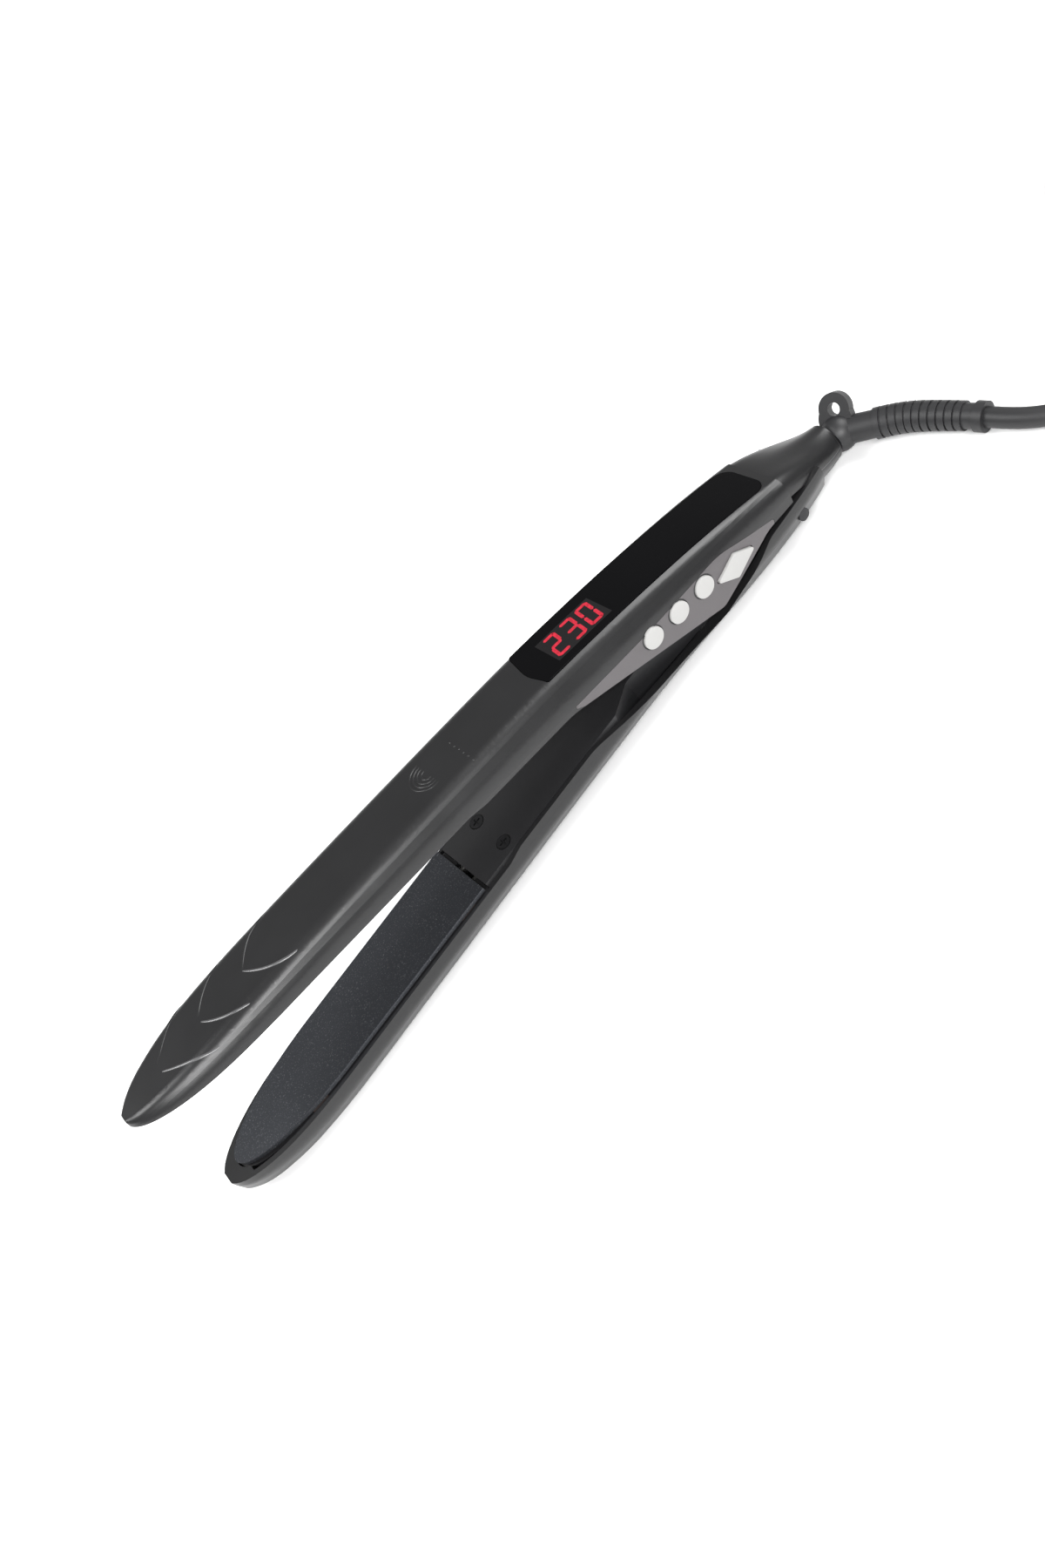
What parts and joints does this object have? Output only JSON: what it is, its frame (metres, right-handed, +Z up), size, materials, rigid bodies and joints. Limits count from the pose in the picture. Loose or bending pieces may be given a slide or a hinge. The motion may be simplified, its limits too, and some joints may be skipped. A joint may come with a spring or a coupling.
{
  "type": "hair straightener",
  "caption": "Hinged hair straightener with flat heating plates, digital temperature display, side buttons, hanging loop, swivel cord and mains plug.",
  "frame": {"origin": "on the table, below the middle of the iron without its cord", "axes": "+X towards the tail and cord, +Z up; the buttons are on the -Y side"},
  "size_m": [0.5044, 0.0989, 0.0569],
  "materials": {
    "shell_charcoal": "soft touch, satin",
    "lens_black": "gloss",
    "panel_grey": "satin",
    "button_silver": "satin",
    "cover_black": "fine texture",
    "plate_titanium": "coated, satin",
    "ceramic_white": "unglazed ceramic",
    "steel": "bright",
    "silicone_red": "matte",
    "board_green": "solder mask",
    "chip_black": "moulded",
    "digit_red": "lit",
    "ball_nylon": "smooth",
    "cord_rubber": "matte",
    "wire_silicone": "matte",
    "pin_nickel": "nickel plated"
  },
  "bodies": {
    "upper_arm": {"upper_shell": "shell_charcoal", "display_lens": "lens_black", "button_panel": "panel_grey", "upper_inner_cover": "cover_black", "upper_cover_screws": "steel", "upper_plate_carrier": "cover_black", "upper_plate_pads": "silicone_red", "upper_heater_wires": "wire_silicone", "main_board": "board_green", "board_components": "chip_black", "display_module": "chip_black", "display_digits": "digit_red", "button_board": "board_green", "tact_switches": "chip_black", "tail_housing": "shell_charcoal", "hinge_pin": "steel", "opening_spring": "steel", "cord_lead": "cord_rubber", "cord_coil": "cord_rubber", "cord_tie": "cord_rubber", "cord_end": "cord_rubber", "plug_body": "cord_rubber", "plug_pins": "pin_nickel"},
    "lower_arm": {"lower_shell": "shell_charcoal", "lower_inner_cover": "cover_black", "lower_cover_screws": "steel", "lower_plate_carrier": "cover_black", "lower_plate_pads": "silicone_red", "lower_heater_wires": "wire_silicone"},
    "upper_plate_float": {"upper_plate": "plate_titanium", "upper_heater": "ceramic_white", "upper_heater_clip": "steel", "thermistor": "ceramic_white"},
    "lower_plate_float": {"lower_plate": "plate_titanium", "lower_heater": "ceramic_white", "lower_heater_clip": "steel", "thermal_fuse": "steel"},
    "cord_swivel": {"swivel_ball": "ball_nylon", "strain_relief": "cord_rubber"},
    "front_button": {"front_button": "button_silver"},
    "middle_button": {"middle_button": "button_silver"},
    "rear_button": {"rear_button": "button_silver"},
    "power_button": {"power_button": "button_silver"}
  },
  "joints": [
    {"name": "arm_hinge", "type": "hinge", "parent": "upper_arm", "child": "lower_arm", "pos_m": [0.11425, 0, 0.00872], "axis": [0, 1, 0], "range_deg": [0, 8.66], "stiffness_Nm_per_rad": 0.8, "springref_deg": -28.65, "deforming": ["opening_spring"]},
    {"name": "upper_plate_slide", "type": "slide", "parent": "upper_arm", "child": "upper_plate_float", "axis": [0.1264, 0, 0.992], "range_m": [0, 0.001], "stiffness_N_per_m": 1200, "springref_m": -0.001, "deforming": ["upper_plate_pads", "upper_heater_wires"]},
    {"name": "lower_plate_slide", "type": "slide", "parent": "lower_arm", "child": "lower_plate_float", "axis": [0.0244, 0, -0.9997], "range_m": [0, 0.001], "stiffness_N_per_m": 1200, "springref_m": -0.001, "deforming": ["lower_plate_pads", "lower_heater_wires"]},
    {"name": "cord_swivel_turn", "type": "hinge", "parent": "upper_arm", "child": "cord_swivel", "pos_m": [0.14042, 0, 0.0068], "axis": [-0.992, 0, 0.1264], "continuous": true},
    {"name": "front_button_press", "type": "slide", "parent": "upper_arm", "child": "front_button", "axis": [0, 1, 0], "range_m": [0, 0.0006], "stiffness_N_per_m": 700, "springref_m": -0.0008},
    {"name": "middle_button_press", "type": "slide", "parent": "upper_arm", "child": "middle_button", "axis": [0, 1, 0], "range_m": [0, 0.0006], "stiffness_N_per_m": 700, "springref_m": -0.0008},
    {"name": "rear_button_press", "type": "slide", "parent": "upper_arm", "child": "rear_button", "axis": [0, 1, 0], "range_m": [0, 0.0006], "stiffness_N_per_m": 700, "springref_m": -0.0008},
    {"name": "power_button_press", "type": "slide", "parent": "upper_arm", "child": "power_button", "axis": [0, 1, 0], "range_m": [0, 0.0006], "stiffness_N_per_m": 700, "springref_m": -0.0008}
  ]
}
